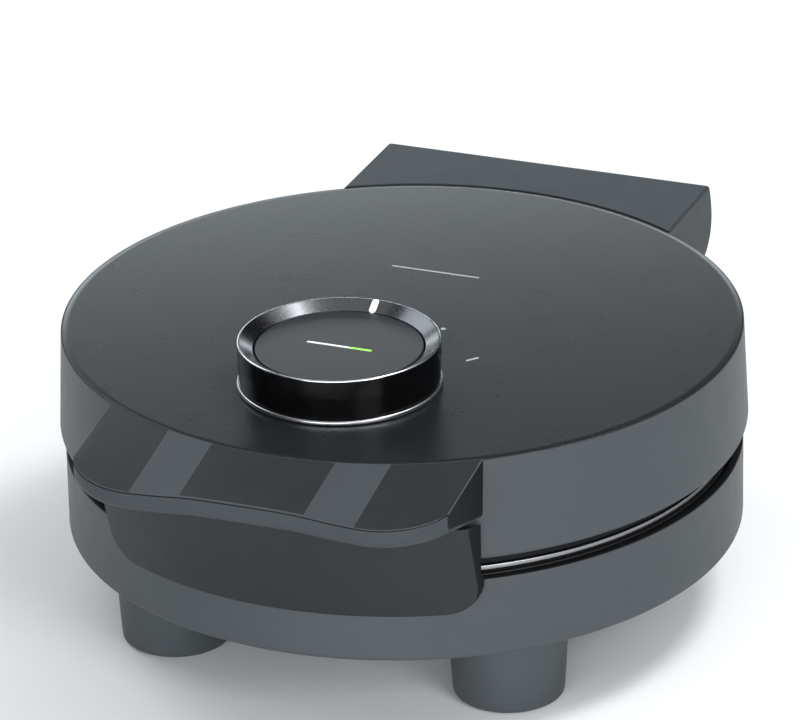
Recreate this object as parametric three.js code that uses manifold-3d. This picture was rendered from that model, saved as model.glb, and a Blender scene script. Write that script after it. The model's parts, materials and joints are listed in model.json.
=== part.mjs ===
// Round seven-ring donut maker: a base on four feet and a lid that swings on a rear hinge pin.
// Millimetres, +Z up. The origin is on the table under the axis of the round body,
// the handle faces -Y and the hinge is at +Y.
import * as THREE from 'three';
import { mergeVertices } from 'three/addons/utils/BufferGeometryUtils.js';
import Module from 'manifold-3d';

const wasm = await Module();
wasm.setup();

// Driving dimensions
const GAP = 0.3; // space left between neighbouring pieces
const TOP_Z = 94.5; // top of the lid
const LID_R = 107.5; // lid at its top edge
const LID_FOOT_R = 109; // lid wall at its lower edge
const LID_LOW_Z = 61.5;
const BASE_R = 107.4;
const BASE_TOP_Z = 54.5;
const BASE_LOW_Z = 28;
const WALL = 2.5;
const RING_SEGMENTS = 40;
const INNER_SEGMENTS = 32; // pans, frames and other hidden rings

const FOOT = { x: 56, y: 56.3, r: 17.9, top: BASE_LOW_Z - GAP, pad: 14, padTop: 2 };
const HINGE = { y: 120, z: 58, r: 10, pin: 2.5, half: 35.4, out: 50.3 };
const TOWER = { rear: 124, low: 31 };
const COVER_HALF = 57; // half width of the rear hinge cover

const PLATE = { r: 104, lowTop: 57.2, highLow: 57.8, thick: 2.4 };
const MOULD = { count: 6, ring: 66, outer: 29, pin: 9, depth: 11, skin: 1.8, segments: 14 };
const SCREW_RING = MOULD.ring / Math.sqrt(3); // midway between three moulds
const ELEMENT = { ring: 62, tube: 3.2 };

const HANDLE = { half: 61, start: 106.9, lip: 6, lowBack: 74.5, skin: 2.6 };
const BAND = { inner: 20, outer: 36.4 }; // light bands between the handle's dark inlays
const GRIP = { outer: 118, top: 77, backTop: 74, low: 44, lowR: 109 };

const DIAL = { y: -52, r: 31.4, low: 96.4, top: TOP_Z + 15, cap: 26, capTop: TOP_Z + 12.5 };
const GEAR = { module: 1.2, ring: 40, pinion: 10, low: 97.6, top: 101.6, sector: [7, 19] };
const SPINDLE_Y = DIAL.y + (GEAR.module * (GEAR.ring - GEAR.pinion)) / 2;
const BAR = { half: 10.8, split: 3.4, thick: 1.2 };

// Solids
function solid(geometry) {
  const bare = new THREE.BufferGeometry();
  bare.setAttribute('position', geometry.getAttribute('position'));
  bare.setIndex(geometry.index);
  const merged = mergeVertices(bare, 1e-4);
  return new wasm.Manifold(new wasm.Mesh({
    numProp: 3,
    vertProperties: merged.attributes.position.array,
    triVerts: new Uint32Array(merged.index.array),
  }));
}

function geometryOf(made) {
  const mesh = made.getMesh();
  const geometry = new THREE.BufferGeometry();
  geometry.setAttribute('position', new THREE.BufferAttribute(mesh.vertProperties, 3));
  geometry.setIndex(new THREE.BufferAttribute(mesh.triVerts, 1));
  geometry.computeVertexNormals();
  return geometry;
}

function revolve(profile, segments = RING_SEGMENTS) {
  const points = profile.map(([r, z]) => new THREE.Vector2(r, z));
  if (THREE.ShapeUtils.isClockWise(points)) points.reverse();
  if (points[0].x > 0 || points.at(-1).x > 0) points.push(points[0].clone());
  return solid(new THREE.LatheGeometry(points, segments).rotateX(Math.PI / 2));
}

function tube(inner, outer, low, high, segments) {
  return revolve([[inner, low], [outer, low], [outer, high], [inner, high]], segments);
}

function disc(r, low, high, x = 0, y = 0, segments = 20) {
  const geometry = new THREE.CylinderGeometry(r, r, high - low, segments);
  return solid(geometry.rotateX(Math.PI / 2).translate(x, y, (low + high) / 2));
}

function discAlongX(r, from, to, y, z, segments = 24) {
  const geometry = new THREE.CylinderGeometry(r, r, to - from, segments);
  return solid(geometry.rotateZ(Math.PI / 2).translate((from + to) / 2, y, z));
}

function block([x0, x1], [y0, y1], [z0, z1]) {
  const geometry = new THREE.BoxGeometry(x1 - x0, y1 - y0, z1 - z0);
  return solid(geometry.translate((x0 + x1) / 2, (y0 + y1) / 2, (z0 + z1) / 2));
}

// An outline of [across, up] points, extruded with its thickness along the axis `along`.
function slab(shape, from, to, along = 'z', curveSegments = 8) {
  const depth = to - from;
  const geometry = new THREE.ExtrudeGeometry(shape, { depth, bevelEnabled: false, curveSegments });
  geometry.translate(0, 0, from);
  const [X, Y, Z] = [[1, 0, 0], [0, 1, 0], [0, 0, 1]].map((a) => new THREE.Vector3(...a));
  const turn = new THREE.Matrix4();
  if (along === 'x') turn.makeBasis(Y, Z, X);
  if (along === 'y') turn.makeBasis(X.negate(), Z, Y);
  return solid(mergeVertices(geometry.applyMatrix4(turn).deleteAttribute('normal')
    .deleteAttribute('uv')));
}

// A box grid whose corners run over across 0..1, out 0..1 and up 0..1, moved by place().
function bentBox(place, across = 28) {
  const geometry = new THREE.BoxGeometry(1, 1, 1, across, 1, 1).translate(0.5, 0.5, 0.5);
  const position = geometry.attributes.position;
  for (let i = 0; i < position.count; i++) {
    const [x, y, z] = place(position.getX(i), 1 - position.getY(i), position.getZ(i));
    position.setXYZ(i, x, y, z);
  }
  return solid(geometry);
}

const onCircle = (r, x) => -Math.sqrt(r * r - x * x); // front half of a circle about the axis
const mix = THREE.MathUtils.lerp;

const model = new THREE.Group();

function add(name, made, finish, parent = model) {
  const mesh = new THREE.Mesh(geometryOf(made), finish);
  mesh.name = name;
  parent.add(mesh);
  return mesh;
}

function finish(color, roughness, metalness = 0) {
  return new THREE.MeshStandardMaterial({ color, roughness, metalness });
}

const anthracite = finish(0x5c6266, 0.45);
const panelGrey = finish(0x565c60, 0.4, 0.3);
const darkGrey = finish(0x3f4448, 0.4);
const blackPlastic = finish(0x141516, 0.5);
const glossBlack = finish(0x08080a, 0.12);
const satinSteel = finish(0xb9bcc0, 0.3, 1);
const tinPlate = finish(0xa9acae, 0.45, 1);
const brass = finish(0xb79a55, 0.4, 1);
const nonStick = finish(0x26272a, 0.45, 0.2);
const rubber = finish(0x1b1b1c, 0.9);
const white = finish(0xf2f3f4, 0.4);
const green = finish(0x6fd23a, 0.35);
const clear = finish(0xdfe6e8, 0.1);
const boardGreen = finish(0x1f5a37, 0.6);

// Base
function screwPlaces() {
  return [90, 210, 330].map((degrees) => {
    const angle = THREE.MathUtils.degToRad(degrees);
    return [SCREW_RING * Math.cos(angle), SCREW_RING * Math.sin(angle)];
  });
}

function footPlaces() {
  return [['front_left', -1, -1], ['front_right', 1, -1], ['rear_left', -1, 1],
    ['rear_right', 1, 1]].map(([name, sx, sy]) => [name, sx * FOOT.x, sy * FOOT.y]);
}

function towerOutline() {
  const shape = new THREE.Shape();
  shape.moveTo(96, TOWER.low);
  shape.lineTo(TOWER.rear - 3, TOWER.low);
  shape.lineTo(TOWER.rear, TOWER.low + 3);
  shape.lineTo(TOWER.rear, HINGE.z - HINGE.r + 1);
  shape.absarc(HINGE.y, HINGE.z, HINGE.r, -1.05, Math.PI * 1.05, false);
  shape.lineTo(108, 52);
  shape.lineTo(96, 52);
  return shape;
}

function baseHousing() {
  const inner = BASE_R - WALL;
  const floor = BASE_LOW_Z + WALL;
  let shell = revolve([
    [0, BASE_LOW_Z], [BASE_R - 1.2, BASE_LOW_Z], [BASE_R, BASE_LOW_Z + 1.2],
    [BASE_R, BASE_TOP_Z], [inner, BASE_TOP_Z], [inner, floor], [0, floor],
  ]);
  shell = shell.add(slab(towerOutline(), -HINGE.half, HINGE.half, 'x', 10));
  shell = shell.subtract(disc(inner, floor, 70, 0, 0, RING_SEGMENTS));
  shell = shell.subtract(block([-26, 26], [94, TOWER.rear - WALL], [34, 46.5]));
  shell = shell.subtract(discAlongX(HINGE.pin + GAP, -60, 60, HINGE.y, HINGE.z));
  shell = shell.subtract(glandTool(4.6));
  for (const [x, y] of screwPlaces()) {
    shell = shell.subtract(disc(2.1, 20, 40, x, y)).subtract(disc(3.8, 20, 29.5, x, y));
  }
  for (const [, x, y] of footPlaces()) shell = shell.subtract(disc(2.1, 20, 40, x, y));
  return shell;
}

function glandTool(r) {
  const hole = new THREE.CylinderGeometry(r, r, 20, 24);
  return solid(hole.translate(0, TOWER.rear, 40));
}

function cableGland() {
  const profile = [[3.4, -6], [4.3, -6], [4.3, 0.3], [6.6, 0.3], [6.6, 1.6], [5.4, 3], [3.4, 3]];
  return revolve(profile, 16).rotate([-90, 0, 0]).translate([0, TOWER.rear, 40]);
}

function foot(x, y) {
  const { r, top, pad, padTop } = FOOT;
  const body = revolve([[0, padTop + GAP], [pad + GAP, padTop + GAP], [pad + GAP, 0.8],
    [r - 1.6, 0.8], [r - 0.2, 3], [r + 1.1, top], [0, top]], 20);
  return body.subtract(disc(1.9, 12, 40)).translate([x, y, 0]);
}

function footPad(x, y) {
  const { pad, padTop } = FOOT;
  return revolve([[0, 0], [pad, 0], [pad, padTop], [0, padTop]], 20)
    .translate([x, y, 0]);
}

// A pan-head screw with its head's bearing face at z, pointing up (1) or down (-1).
function screw(x, y, z, length, up = 1) {
  const profile = [[0, -1.2], [3.3, -1.2], [3.3, 0], [1.6, 0], [1.6, length], [0, length]];
  return revolve(profile.map(([r, h]) => [r, h * up]), 10).translate([x, y, z]);
}

function mouldPlaces() {
  const places = [[0, 0]];
  for (let i = 0; i < MOULD.count; i++) {
    const angle = (i * 2 * Math.PI) / MOULD.count;
    places.push([MOULD.ring * Math.cos(angle), MOULD.ring * Math.sin(angle)]);
  }
  return places;
}

// A baking plate with its cooking face at z = 0 and its mould cups below it.
function bakingPlate() {
  const { outer, pin, depth, skin } = MOULD;
  const middle = (outer + pin) / 2;
  const cup = revolve([[0, -depth - skin], [outer - 5.5, -depth - skin], [outer, -depth / 2],
    [outer + skin, -1], [0, -1]], MOULD.segments);
  const trough = revolve([[pin - 0.4, 0.5], [outer + 0.4, 0.5], [outer - 1.4, -0.5 * depth],
    [middle + 4, -depth], [middle - 4, -depth], [pin + 1.4, -0.5 * depth]], MOULD.segments);
  let plate = revolve([[0, -PLATE.thick], [PLATE.r - 0.6, -PLATE.thick],
    [PLATE.r, 0.6 - PLATE.thick], [PLATE.r, -0.5], [PLATE.r - 0.5, 0], [0, 0]]);
  for (const [x, y] of mouldPlaces()) plate = plate.add(cup.translate([x, y, 0]));
  for (const [x, y] of screwPlaces()) plate = plate.add(disc(4.4, -22.3, -1, x, y, 16));
  for (const [x, y] of mouldPlaces()) plate = plate.subtract(trough.translate([x, y, 0]));
  for (const [x, y] of screwPlaces()) plate = plate.subtract(disc(1.9, -30, -9, x, y, 12));
  return plate;
}

function plateFrame(low) {
  return tube(98.6, 104.2, low, low + 2, 24);
}

// A tubular loop that starts and ends at the rear, under the mould cups.
function heatingElement(z) {
  const points = [[-14, 92]];
  for (let degrees = 105; degrees <= 435; degrees += 22) {
    const angle = THREE.MathUtils.degToRad(degrees);
    points.push([ELEMENT.ring * Math.cos(angle), ELEMENT.ring * Math.sin(angle)]);
  }
  points.push([14, 92]);
  const path = new THREE.CatmullRomCurve3(points.map(([x, y]) => new THREE.Vector3(x, y, z)));
  const section = new THREE.Shape().absarc(0, 0, ELEMENT.tube, 0, 2 * Math.PI);
  const geometry = new THREE.ExtrudeGeometry(section,
    { steps: 36, extrudePath: path, curveSegments: 3, bevelEnabled: false });
  return solid(mergeVertices(geometry.deleteAttribute('normal').deleteAttribute('uv')));
}

// A pressed pan with its open side up (1) or down (-1).
function heatShield(floor, rim, up) {
  const t = 0.8 * up;
  let pan = revolve([[0, floor], [97, floor], [97, rim], [96.2, rim],
    [96.2, floor + t], [0, floor + t]], 24);
  for (const [x, y] of screwPlaces()) {
    pan = pan.subtract(disc(2.1, floor - 3, floor + 3, x, y));
  }
  return pan;
}

function gripOutline() {
  const { half } = HANDLE;
  const corner = 9;
  const shape = new THREE.Shape();
  shape.moveTo(half, 90);
  shape.lineTo(-half, 90);
  shape.lineTo(-half, GRIP.low + corner);
  shape.quadraticCurveTo(-half + 1, GRIP.low, -half + corner + 5, GRIP.low);
  shape.lineTo(half - corner - 5, GRIP.low);
  shape.quadraticCurveTo(half - 1, GRIP.low, half, GRIP.low + corner);
  return shape;
}

function baseGrip() {
  const back = BASE_R + 0.4;
  const lidSide = LID_FOOT_R + 0.8;
  const ring = revolve([[back, GRIP.low - 1], [GRIP.lowR - 0.3, GRIP.low - 1],
    [GRIP.outer, GRIP.top], [lidSide, GRIP.backTop], [lidSide, 57], [back, 55.5]], 128);
  return ring.intersect(slab(gripOutline(), -125, -80, 'y', 8));
}

function addBase(body) {
  add('base_housing', baseHousing(), anthracite, body);
  add('base_grip', baseGrip(), darkGrey, body);
  for (const [name, x, y] of footPlaces()) {
    add(`${name}_foot`, foot(x, y), anthracite, body);
    add(`${name}_foot_pad`, footPad(x, y), rubber, body);
    add(`${name}_foot_screw`, screw(x, y, 30.8, 16, -1), satinSteel, body);
  }
  add('lower_plate_frame', plateFrame(BASE_TOP_Z - 2), blackPlastic, body);
  add('lower_baking_plate', bakingPlate().translate([0, 0, PLATE.lowTop]), nonStick, body);
  add('lower_heating_element', heatingElement(39.8), satinSteel, body);
  add('lower_heat_shield', heatShield(33.2, 54.2, 1), tinPlate, body);
  screwPlaces().forEach(([x, y], i) => {
    add(`lower_plate_screw_${i + 1}`, screw(x, y, 29.3, 17), satinSteel, body);
  });
  add('hinge_pin', discAlongX(HINGE.pin, -49.4, 49.4, HINGE.y, HINGE.z), satinSteel, body);
  add('cable_gland', cableGland(), rubber, body);
  add('terminal_block', block([-14, 14], [108, 117], [34.4, 43]), white, body);
}

// Lid
// The handle's front edge from its middle to its side, which dips at the two lobes.
const frontEdge = new THREE.CatmullRomCurve3([[-0.5, -131.8, 89.1], [16, -131.8, 88.9],
  [28, -131.85, 88], [38.5, -131.9, 87.5], [46, -130.6, 87.6], [53, -127, 88],
  [58.4, -121.8, 88.7], [HANDLE.half, -116.5, 89.3]]
  .map((point) => new THREE.Vector3(...point))).getPoints(80);

function frontAt(x) {
  const at = Math.min(Math.abs(x), HANDLE.half);
  const i = Math.max(1, frontEdge.findIndex((p) => p.x >= at));
  const [a, b] = [frontEdge[i - 1], frontEdge[i]];
  return a.clone().lerp(b, (at - a.x) / (b.x - a.x));
}

// The handle's top runs in straight lines from the lid's edge down to its front edge.
function handleTop(x, y) {
  const back = onCircle(HANDLE.start, x);
  const front = frontAt(x);
  return mix(TOP_Z, front.z, (back - y) / (back - front.y));
}

function handleBlank() {
  return bentBox((across, out, up) => {
    const x = HANDLE.half * Math.sin((across - 0.5) * Math.PI);
    const front = frontAt(x);
    const y = mix(onCircle(HANDLE.start, x), front.y, out);
    const low = mix(HANDLE.lowBack, front.z - HANDLE.lip, out);
    return [x, y, mix(low, mix(TOP_Z, front.z, out), up)];
  });
}

function handleHollow() {
  const half = HANDLE.half - HANDLE.skin;
  return bentBox((across, out, up) => {
    const x = half * Math.sin((across - 0.5) * Math.PI);
    const front = frontAt((x * HANDLE.half) / half).y + HANDLE.skin;
    const y = mix(onCircle(LID_FOOT_R + 0.6, x), front, out);
    return [x, y, mix(HANDLE.lowBack - 5, handleTop(x, y) - 3.8, up)];
  });
}

// The sunk field of a handle inlay, or the inlay itself when it is inset by the gap.
function inlay(from, to, land, inset, top, bottom) {
  return bentBox((across, out, up) => {
    const x = mix(from + inset, to - inset, across);
    const y = mix(onCircle(LID_R + 0.5 + inset, x), frontAt(x).y + land + inset, out);
    return [x, y, handleTop(x, y) - mix(bottom, top, up)];
  }, 10);
}

const inlayFields = [
  ['left', -HANDLE.half + 1.4, -BAND.outer, 0.7],
  ['centre', -BAND.inner, BAND.inner, 1.8],
  ['right', BAND.outer, HANDLE.half - 1.4, 0.7],
];

// One lid arm runs from the wall back and down to its knuckle on the pin.
function hingeArm(from, to) {
  const shape = new THREE.Shape();
  shape.moveTo(88, 90);
  shape.lineTo(88, 72);
  shape.lineTo(HINGE.y - 8, 72);
  shape.lineTo(HINGE.y - HINGE.r, HINGE.z);
  shape.absarc(HINGE.y, HINGE.z, HINGE.r, Math.PI, 2 * Math.PI, false);
  shape.lineTo(HINGE.y + 6, 71);
  shape.lineTo(HINGE.y + 6, 84);
  shape.lineTo(HINGE.y - 2, 90);
  return slab(shape, from, to, 'x', 8);
}

function lidInside() {
  return revolve([[0, 50], [LID_FOOT_R - WALL, 50], [LID_FOOT_R - WALL, LID_LOW_Z],
    [LID_R - WALL, TOP_Z - 3.6], [0, TOP_Z - 3.6]]);
}

function lidHousing() {
  let shell = revolve([[0, LID_LOW_Z], [LID_FOOT_R - 1.2, LID_LOW_Z], [LID_FOOT_R, LID_LOW_Z + 1.2],
    [LID_R, TOP_Z], [LID_R - 1, TOP_Z], [LID_R - 1, TOP_Z - 1.3], [0, TOP_Z - 1.3]]);
  for (const [from, to] of [[36, HINGE.out], [-HINGE.out, -36]]) {
    shell = shell.add(hingeArm(from, to));
  }
  shell = shell.subtract(lidInside());
  const discEdge = disc(LID_R - 1, TOP_Z - 1.3, TOP_Z + 5, 0, 0, RING_SEGMENTS);
  shell = shell.add(handleBlank().subtract(discEdge).subtract(lidInside()));
  shell = shell.subtract(handleHollow());
  for (const [, from, to, land] of inlayFields) {
    shell = shell.subtract(inlay(from, to, land, 0, -2, 1.6));
  }
  shell = shell.subtract(discAlongX(HINGE.pin + GAP, -49.7, 49.7, HINGE.y, HINGE.z));
  for (const [x, y] of screwPlaces()) {
    shell = shell.subtract(disc(2.1, 85, 96, x, y)).subtract(disc(3.8, 91.9, 96, x, y));
  }
  return shell.subtract(dialHoles());
}

function dialHoles() {
  return disc(4.6, 80, 110, 0, SPINDLE_Y, 24)
    .add(block([-4.6, 4.6], [DIAL.y - 1.1, DIAL.y + 1.1], [80, 110]));
}

function lidTopPanel() {
  const r = LID_R - 1 - GAP;
  return revolve([[0, TOP_Z - 1], [r, TOP_Z - 1], [r, TOP_Z - 0.2], [r - 0.2, TOP_Z], [0, TOP_Z]])
    .subtract(dialHoles());
}

function coverOutline(inset) {
  const shape = new THREE.Shape();
  const low = 70 - (inset ? 4 : 0);
  shape.moveTo(85, low);
  shape.lineTo(126 - inset, low);
  shape.quadraticCurveTo(133.2 - inset, 73, 134.4 - inset, 81);
  shape.quadraticCurveTo(135 - inset, 86, 132.4 - inset, TOP_Z - 1.2 - inset);
  shape.quadraticCurveTo(132 - inset, TOP_Z - inset, 131 - inset, TOP_Z - inset);
  shape.lineTo(85, TOP_Z - inset);
  return shape;
}

function hingeCover() {
  const lidBody = revolve([[0, 50], [LID_FOOT_R + 0.4, 50], [LID_FOOT_R + 0.4, LID_LOW_Z + 1],
    [LID_R + 0.4, TOP_Z - 0.5], [LID_R + 0.4, 100], [0, 100]], 128);
  const hollow = slab(coverOutline(WALL), WALL - COVER_HALF, COVER_HALF - WALL, 'x', 6);
  return slab(coverOutline(0), -COVER_HALF, COVER_HALF, 'x', 6).subtract(hollow)
    .subtract(lidBody);
}

function dialRing() {
  const { r, low, top, cap } = DIAL;
  const bore = cap + GAP;
  const root = (GEAR.module * GEAR.ring) / 2 + 1.3;
  const body = revolve([[28.4, low], [r - 0.5, low], [r, low + 6], [r, top - 0.5],
    [r - 0.3, top], [r - 0.7, top], [bore + 0.4, DIAL.capTop], [bore, DIAL.capTop - 0.4],
    [bore, GEAR.top], [root, GEAR.top], [root, GEAR.low], [28.4, GEAR.low]], INNER_SEGMENTS);
  return body.add(internalTeeth(root + 0.4)).subtract(pointerTool(GAP)).translate([0, DIAL.y, 0]);
}

// A trapezoid tooth as [radius, half angle] corners, repeated round a circle.
function toothed(count, low, high, [first, last] = [0, count - 1]) {
  const points = [];
  for (let i = 0; i < count; i++) {
    const middle = (i * 2 * Math.PI) / count;
    if (i < first || i > last) {
      points.push(new THREE.Vector2(high[0] * Math.cos(middle), high[0] * Math.sin(middle)));
      continue;
    }
    for (const [r, half] of [[low[0], -low[1]], [high[0], -high[1]], [high[0], high[1]],
      [low[0], low[1]]]) {
      points.push(new THREE.Vector2(r * Math.cos(middle + half), r * Math.sin(middle + half)));
    }
  }
  return points;
}

function internalTeeth(outer) {
  const pitch = (GEAR.module * GEAR.ring) / 2;
  const shape = new THREE.Shape().absarc(0, 0, outer, 0, 2 * Math.PI);
  const space = toothed(GEAR.ring, [pitch - 1, 0.052], [pitch + 1.3, 0.03], GEAR.sector);
  shape.holes.push(new THREE.Path(space));
  return slab(shape, GEAR.low, GEAR.top, 'z', INNER_SEGMENTS / 2);
}

function pinion() {
  const pitch = (GEAR.module * GEAR.pinion) / 2;
  const outline = new THREE.Shape(toothed(GEAR.pinion, [pitch - 1.3, 0.19], [pitch + 1, 0.06]));
  return slab(outline, GEAR.low, GEAR.top).subtract(disc(2.3, 90, 110))
    .rotate([0, 0, 180 / GEAR.pinion]);
}

function pointerTool(extra) {
  const tip = DIAL.top + 0.3;
  const from = DIAL.cap + 1.2 - extra;
  const to = DIAL.r - 1 + extra;
  const surface = (r) => mix(DIAL.capTop, DIAL.top, (r - DIAL.cap - 0.7) / (DIAL.r - DIAL.cap - 1.4));
  const shape = new THREE.Shape();
  shape.moveTo(from, surface(from) - 1 - extra);
  shape.lineTo(to, surface(to) - 1 - extra);
  shape.lineTo(to, extra ? tip : surface(to) - 0.05);
  shape.lineTo(from, extra ? tip : surface(from) - 0.05);
  return slab(shape, -1.5 - extra, 1.5 + extra, 'x');
}

function dialCentreCap() {
  const { cap, capTop, y } = DIAL;
  let piece = revolve([[0, capTop - 2.3], [cap, capTop - 2.3], [cap, capTop - 0.3],
    [cap - 0.3, capTop], [0, capTop]], INNER_SEGMENTS);
  piece = piece.add(disc(9, TOP_Z + GAP, capTop - 2));
  piece = piece.add(block([-13, 13], [-2.5, 2.5], [capTop - 6, capTop - 2]));
  piece = piece.subtract(block([-4.4, 4.4], [-0.9, 0.9], [80, 104]));
  piece = piece.subtract(block([-BAR.half - GAP, BAR.half + GAP], [-0.9, 0.9], [102.7, 110]));
  return piece.translate([0, y, 0]);
}

function barPart(from, to, low, high) {
  return block([from, to], [DIAL.y - BAR.thick / 2, DIAL.y + BAR.thick / 2], [low, high]);
}

function lightGuide() {
  return barPart(-4, 4, 90, 103.5).add(barPart(-BAR.half, BAR.half, 103, 104.7));
}

function indicatorBoard() {
  const board = block([-12, 12], [DIAL.y - 8, DIAL.y + 5], [86.6, 88.2]);
  return [-2.2, 2.2].reduce((made, x) => made.add(
    block([x - 1.4, x + 1.4], [DIAL.y - 1, DIAL.y + 1], [88, 89.6])), board);
}

function thermostatBody() {
  return block([-13, 13], [SPINDLE_Y - 11, SPINDLE_Y + 11], [81.6, 90.2])
    .add(disc(4.2, 90, 97.2, 0, SPINDLE_Y, 24))
    .subtract(disc(2.3, 85.7, 110, 0, SPINDLE_Y, 24));
}

function thermostatNut() {
  return disc(6.4, TOP_Z + GAP, TOP_Z + 2.2, 0, SPINDLE_Y, 6)
    .subtract(disc(4.5, TOP_Z, TOP_Z + 3, 0, SPINDLE_Y));
}

function addLid(body) {
  add('lid_housing', lidHousing(), anthracite, body);
  add('lid_top_panel', lidTopPanel(), panelGrey, body);
  for (const [side, from, to, land] of inlayFields) {
    add(`handle_inlay_${side}`, inlay(from, to, land, 0.5, 0.4, 1.3), darkGrey, body);
  }
  add('hinge_cover', hingeCover(), anthracite, body);
  add('upper_plate_frame', plateFrame(60.5), blackPlastic, body);
  const upperPlate = bakingPlate().mirror([0, 0, 1]).translate([0, 0, PLATE.highLow]);
  add('upper_baking_plate', upperPlate, nonStick, body);
  add('upper_heating_element', heatingElement(75.2), satinSteel, body);
  add('upper_heat_shield', heatShield(81.2, 62.8, -1), tinPlate, body);
  screwPlaces().forEach(([x, y], i) => {
    add(`upper_plate_screw_${i + 1}`, screw(x, y, 92.1, 20, -1), satinSteel, body);
  });
  add('thermostat_body', thermostatBody(), blackPlastic, body);
  add('thermostat_nut', thermostatNut(), brass, body);
  add('thermal_fuse', discAlongX(2.6, -8, 8, 44, 84.6, 16), white, body);
  add('indicator_board', indicatorBoard(), boardGreen, body);
  add('light_guide', lightGuide(), clear, body);
  add('light_bar_white', barPart(-BAR.half, BAR.split, 105, DIAL.capTop), white, body);
  add('light_bar_green', barPart(BAR.split + GAP, BAR.half, 105, DIAL.capTop), green, body);
  add('dial_base_ring', tube(27.6, DIAL.r + 0.4, TOP_Z + GAP, DIAL.low - GAP, INNER_SEGMENTS)
    .translate([0, DIAL.y, 0]), satinSteel, body);
  add('dial_centre_cap', dialCentreCap(), anthracite, body);
}

function addDial(body) {
  add('dial_ring', dialRing(), glossBlack, body);
  add('dial_pointer', pointerTool(0).translate([0, DIAL.y, 0]), white, body);
}

function addSpindle(body) {
  add('thermostat_spindle', disc(2, 86, 102.2, 0, SPINDLE_Y, 20), satinSteel, body);
  add('spindle_pinion', pinion().translate([0, SPINDLE_Y, 0]), brass, body);
}

for (const addBody of [addBase, addLid, addDial, addSpindle]) {
  const body = new THREE.Group();
  addBody(body);
  model.add(body);
}

export default model;
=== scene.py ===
import json
import math

import bmesh
import bpy
from mathutils import Matrix, Vector
from mathutils.geometry import delaunay_2d_cdt


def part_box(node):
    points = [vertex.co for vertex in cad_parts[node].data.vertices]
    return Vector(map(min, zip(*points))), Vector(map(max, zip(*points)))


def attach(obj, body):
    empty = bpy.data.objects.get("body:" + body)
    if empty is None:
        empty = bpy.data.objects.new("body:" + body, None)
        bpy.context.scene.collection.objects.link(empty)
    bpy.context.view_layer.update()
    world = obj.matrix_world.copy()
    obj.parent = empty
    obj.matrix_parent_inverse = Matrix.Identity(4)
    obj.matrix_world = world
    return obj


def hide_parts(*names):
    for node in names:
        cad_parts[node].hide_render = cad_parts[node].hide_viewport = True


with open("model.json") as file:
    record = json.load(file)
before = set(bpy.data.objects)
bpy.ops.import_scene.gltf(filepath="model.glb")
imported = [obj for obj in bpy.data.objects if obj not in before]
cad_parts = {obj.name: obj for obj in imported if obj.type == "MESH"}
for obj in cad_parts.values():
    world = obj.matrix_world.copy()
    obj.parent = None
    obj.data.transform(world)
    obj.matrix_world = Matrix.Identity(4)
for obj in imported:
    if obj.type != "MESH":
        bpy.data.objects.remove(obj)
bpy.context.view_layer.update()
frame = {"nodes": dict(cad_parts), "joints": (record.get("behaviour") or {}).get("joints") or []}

MM = 0.001


def corners(node):
    """Lowest and highest corner of a CAD node, in millimetres."""
    return tuple(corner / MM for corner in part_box(node))


def joint_place(name):
    """Where a joint's axis passes, in millimetres."""
    return Vector(next(j["pos_m"] for j in frame["joints"] if j["name"] == name)) / MM


# Sizes
BASE_LOW, BASE_HIGH = corners("base_housing")
LID_HIGH = corners("lid_housing")[1]
PANEL_LOW, PANEL_HIGH = corners("lid_top_panel")
COVER_HIGH = corners("hinge_cover")[1]
DIAL_LOW, DIAL_HIGH = corners("dial_ring")
CAP_HIGH = corners("dial_centre_cap")[1]
RING_LOW, RING_HIGH = corners("dial_base_ring")
HINGE = joint_place("lid_hinge")
DIAL = joint_place("dial_turn")
SPINDLE = joint_place("spindle_turn")

SEGMENTS = 256  # faces round a large body of revolution
GAP = 0.3  # clearance between pieces that fit into each other
WALL = 2.5
BASE_R = BASE_HIGH.x
BASE_TOP = 54.5
TOWER_HALF = 35.4
KNUCKLE = 10.0
PIN_R = 2.5
LID_FOOT_R = LID_HIGH.x
LID_LOW = 61.5
LID_R = PANEL_HIGH.x + 1.3
TOP = PANEL_HIGH.z
FOOT_TOP = BASE_LOW.z - GAP
PLATE_R = 104.0
PLATE_LOW_FACE = 57.2
PLATE_HIGH_FACE = 57.8
PLATE_THICK = 2.4
PLATE_EDGE = 2.0  # width of the plates' rim outside their flat faces
RIM_DEPTH = 1.3  # how far the bright band reaches down the lower plate's rim
MOULD_RING = 66.0
SCREW_RING = MOULD_RING / math.sqrt(3)
DISC_R = LID_R - 0.45
DISC_GAP = 0.12
HANDLE_HALF = 61.0
LIP_THICK = 6.0
HANDLE_LOW_BACK = 74.5
HANDLE_START = 106.9
BAND_INNER = 20.0
BAND_OUTER = 36.4
BAND_EDGE = 0.5  # what the outer inlays leave of the handle at its sides
GRIP_LOW = 44.0
GRIP_HIGH = 77.0
DIAL_R = DIAL_HIGH.x
DIAL_LIP = 0.8  # width of the dial ring's bright upper rim
CAP_R = 26.0
ARM_WIDTH = 14.3
ARM_STARTS = (36, -50.3)
INLET = (40, 0)  # where the mains inlet passes the base's rear wall


# Outlines
def rounded(points, closed=True, steps=6):
    """The outline with each (a, b, radius) corner turned into an arc of that radius."""
    out = []
    for i, point in enumerate(points):
        here = Vector(point[:2])
        if len(point) < 3 or (not closed and i in (0, len(points) - 1)):
            out.append(tuple(here))
            continue
        before = (Vector(points[i - 1][:2]) - here).normalized()
        after = (Vector(points[(i + 1) % len(points)][:2]) - here).normalized()
        half = before.angle(after) / 2
        centre = here + (before + after).normalized() * (point[2] / math.sin(half))
        start = here + before * (point[2] / math.tan(half)) - centre
        sweep = math.pi - 2 * half
        if start.x * (here - centre).y - start.y * (here - centre).x < 0:
            sweep = -sweep
        for k in range(steps + 1):
            turned = Matrix.Rotation(sweep * k / steps, 2) @ start
            out.append(tuple(centre + turned))
    return out


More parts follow.
